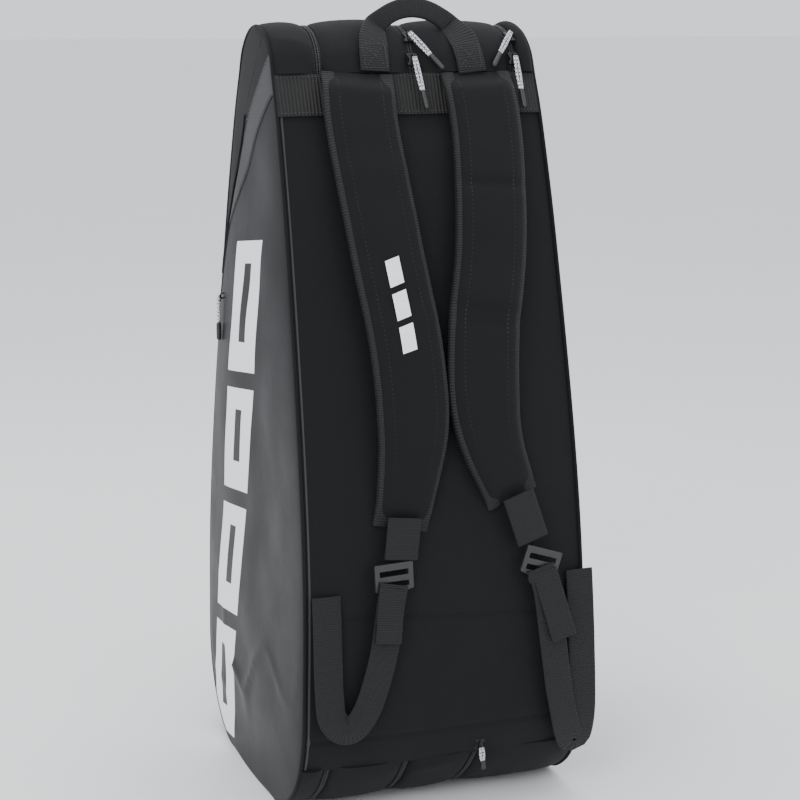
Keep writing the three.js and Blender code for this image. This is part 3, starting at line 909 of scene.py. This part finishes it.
# ---- top handle ----
def handle():
    """A webbing loop, flat where it is sewn to the crown and folded narrow for the hand."""
    xz = [(-0.034, 0.708), (-0.033, 0.724), (-0.030, 0.738), (-0.022, 0.751), (-0.005, 0.7625), (0.013, 0.7665),
          (0.032, 0.7635), (0.050, 0.753), (0.060, 0.739), (0.063, 0.724), (0.065, 0.706)]
    curve, length = by_length(catmull_rom(xz, 16), 110)
    x, z = curve[:, 0], curve[:, 1]
    reach = CAP_RADIUS + GUSSET_PUFF + 0.0030
    low = np.clip((z - CAP_Z) / reach, -0.99, 0.99)
    y = -np.maximum(reach * np.sqrt(1 - low**2), 0.0310)
    centre = np.stack([x, y, z], -1)
    t = np.gradient(centre, axis=0)
    t /= np.linalg.norm(t, axis=1)[:, None]
    out = np.stack([0 * x, -np.ones_like(x), 0.25 + 0 * x], -1)
    across = np.cross(t, out)
    across /= np.linalg.norm(across, axis=1)[:, None]
    normals = np.cross(across, t)
    fold = smooth(0.735, 0.760, z)
    half = 0.0145 - 0.0050 * fold
    thick = 0.0024 + 0.0030 * fold
    path = (centre, across, normals, length)
    loop = ribbon("handle_loop", path, half, -thick / 2, thick / 2, "webbing", 22, 0.3,
                  replaces=("top_handle", "handle_foot_left", "handle_foot_right"))
    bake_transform(loop)
    for name, foot in (("left", -0.033), ("right", 0.063)):
        corners = [(-0.011, 0.711), (0.011, 0.711), (0.011, 0.733), (-0.011, 0.733), (-0.011, 0.711),
                   (0.011, 0.733), (0.011, 0.711), (-0.011, 0.733)]
        path = []
        for (ax, az), (bx, bz) in zip(corners, corners[1:]):
            for k in np.linspace(0, 1, 12, endpoint=False):
                level = az + (bz - az) * k
                radius = reach + 0.0016
                path.append((foot + ax + (bx - ax) * k, -math.sqrt(radius**2 - (level - CAP_Z) ** 2), level))
        stitches(f"handle_box_stitch_{name}", path, "bag_body")


# ---- zip sliders and pulls ----
def node_points(node):
    return np.array([v.co[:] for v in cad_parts[node].data.vertices])


def rounded_slider(node):
    """A slider: waisted body with a raised bridge, laid on the zip where its CAD box is."""
    points = np.unique(np.round(node_points(node), 6), axis=0)
    centre = points.mean(0)
    _, _, axes = np.linalg.svd(points - centre)
    long_axis, wide_axis, tall_axis = axes
    outward = centre - np.array((centre[0] * 0.2, 0, 0.40 if centre[2] < 0.6 else CAP_Z))
    if "pocket" in node:
        outward = np.array((-1.0, 0, 0))
    if tall_axis @ outward < 0:
        tall_axis = -tall_axis
    rings = []
    for u in np.linspace(-1, 1, 15):
        waist = 0.0046 - 0.0012 * math.cos(u * math.pi) * (abs(u) < 1) - 0.0012 * (abs(u) > 0.95)
        a = np.linspace(0, 2 * math.pi, 16, endpoint=False)
        w = waist * np.sign(np.cos(a)) * np.abs(np.cos(a)) ** 0.5
        h = 0.0016 * np.sign(np.sin(a)) * np.abs(np.sin(a)) ** 0.5
        along = long_axis * (u * SLIDER_HALF)
        rings.append(centre + along + wide_axis * w[:, None] + tall_axis * (h - 0.0004)[:, None])
    rings = np.array(rings)
    uv = np.zeros(rings.shape[:2] + (2,))
    loft(node + "_body", rings, uv, "metal", body=node, replaces=(node,))
    a = np.linspace(0, math.pi, 16)
    arch = centre + np.outer(np.cos(a), long_axis) * 0.0042 + np.outer(np.sin(a), tall_axis) * 0.0036
    arch = arch + tall_axis * 0.0010
    tube(node + "_bridge", arch, 0.0009, "metal", 8, body=node)


def pull(node):
    """A loop of braided cord with a moulded tip, where the CAD pull hangs."""
    points = np.unique(np.round(node_points(node), 6), axis=0)
    centre = points.mean(0)
    _, _, axes = np.linalg.svd(points - centre)
    along = axes[0]
    reach = np.abs((points - centre) @ along).max()
    head, tip = centre + along * reach, centre - along * reach
    if head[2] < tip[2]:
        head, tip = tip, head
    side = np.cross(tip - head, (0.0, 1.0, 0.0) if "pocket" not in node else (1.0, 0.0, 0.0))
    side /= np.linalg.norm(side)
    length = np.linalg.norm(tip - head)
    tip_length = min(0.019, length * 0.42)
    neck = tip + (head - tip) / length * tip_length
    u = np.linspace(0, 1, 40)[:, None]
    bow = np.sin(u * math.pi)
    for name, sign in (("a", -1), ("b", 1)):
        strand = head + (neck - head) * u + side * sign * (0.0011 + 0.0006 * bow)
        tube(f"{node}_cord_{name}", strand, 0.00135, "cord", 10, body=node)
    v = np.linspace(0, 1, 22)
    profile = 0.0022 * np.sqrt(np.clip(1 - (2 * v - 1) ** 8, 0, 1)) + 0.0004
    profile = profile + 0.00025 * np.sin(v * 40) * (v > 0.2) * (v < 0.8)
    barrel = neck + (tip - neck) * v[:, None]
    tube(f"{node}_tip", barrel, profile, "plastic", 16, body=node, replaces=(node,))


# ---- assemble ----
def build_shell():
    zero = lambda z: -side_x(z)
    full = lambda z: side_x(z)
    line = lambda name, by: (lambda z: ramp(ZIPS[name], z) + by)
    gap = ZIP_HALF
    gusset("left_gusset", "left_cover", zero, line("zip_1", -gap), 0.0030, 1)
    gusset("middle_gusset_left", "bag_body", line("zip_1", gap), line("zip_2", -gap), GUSSET_PUFF, 2)
    gusset("middle_gusset_right", "bag_body", line("zip_2", gap), line("zip_3", -gap), GUSSET_PUFF, 3)
    gusset("right_gusset", "right_cover", line("zip_3", gap), full, GUSSET_PUFF, 4)
    zip_tapes("zip_1", ZIPS["zip_1"], "left_cover", "bag_body")
    zip_tapes("zip_2", ZIPS["zip_2"], "bag_body", "bag_body")
    zip_tapes("zip_3", ZIPS["zip_3"], "bag_body", "right_cover")
    spine()
    webbing_band()
    left_face()
    right_face()
    piping("left_piping", -1, "left_cover")
    piping("right_piping", 1, "right_cover")
    for name, ends in DIVIDERS.items():
        divider(name, ends)


def build_fittings():
    for side, spec in STRAPS.items():
        strap_pad(side, spec)
        lower_webbings(side)
        buckle(side)
    handle()
    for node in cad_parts:
        if node.endswith("_slider"):
            rounded_slider(node)
        elif node.endswith("_pull"):
            pull(node)


# ---- studio ----
def studio():
    scene = bpy.context.scene
    world = bpy.data.worlds.new("studio")
    world.use_nodes = True
    world.node_tree.nodes["Background"].inputs[0].default_value = (0.93, 0.95, 1.0, 1)
    world.node_tree.nodes["Background"].inputs[1].default_value = 1.25
    scene.world = world
    mesh = bpy.data.meshes.new("floor")
    corners = [(-FLOOR, -FLOOR, 0), (FLOOR, -FLOOR, 0), (FLOOR, FLOOR, 0), (-FLOOR, FLOOR, 0)]
    mesh.from_pydata(corners, [], [(0, 1, 2, 3)])
    floor = bpy.data.objects.new("floor", mesh)
    scene.collection.objects.link(floor)
    paint = Nodes("floor_paint")
    paint.color(paint.mix(paint.noise(2), (0.86, 0.86, 0.86), (0.90, 0.90, 0.90)))
    paint.set(Roughness=0.8)
    mesh.materials.append(paint.material)
    for name, place, power, width in (
        ("key", (-2.0, -2.2, 2.1), 34, 1.4),
        ("fill", (1.8, -2.4, 1.4), 16, 2.0),
        ("top", (0.0, 0.2, 2.8), 30, 2.0),
        ("rim_left", (-2.4, 1.2, 1.2), 16, 1.2),
    ):
        light = bpy.data.lights.new(name, "AREA")
        light.energy = power
        light.size = width
        lamp = bpy.data.objects.new(name, light)
        lamp.location = place
        lamp.rotation_euler = (Vector((0, 0, 0.38)) - Vector(place)).to_track_quat("-Z", "Y").to_euler()
        scene.collection.objects.link(lamp)


def camera():
    """The photographed view: 20 degrees round to the tarpaulin side, 11 degrees up."""
    yaw, pitch, distance = math.radians(-19.8), math.radians(11.36), 1.954
    data = bpy.data.cameras.new("camera")
    data.sensor_width = 36
    data.lens = 86.9
    data.shift_x = 0.017
    data.shift_y = 0.0034
    eye = bpy.data.objects.new("camera", data)
    look = Vector((0, 0, 0.375))
    out = Vector((math.sin(yaw) * math.cos(pitch), -math.cos(yaw) * math.cos(pitch), math.sin(pitch)))
    eye.location = look + out * distance
    eye.rotation_euler = (-out).to_track_quat("-Z", "Y").to_euler()
    bpy.context.scene.collection.objects.link(eye)
    bpy.context.scene.camera = eye


camera()
studio()
build_shell()
build_fittings()
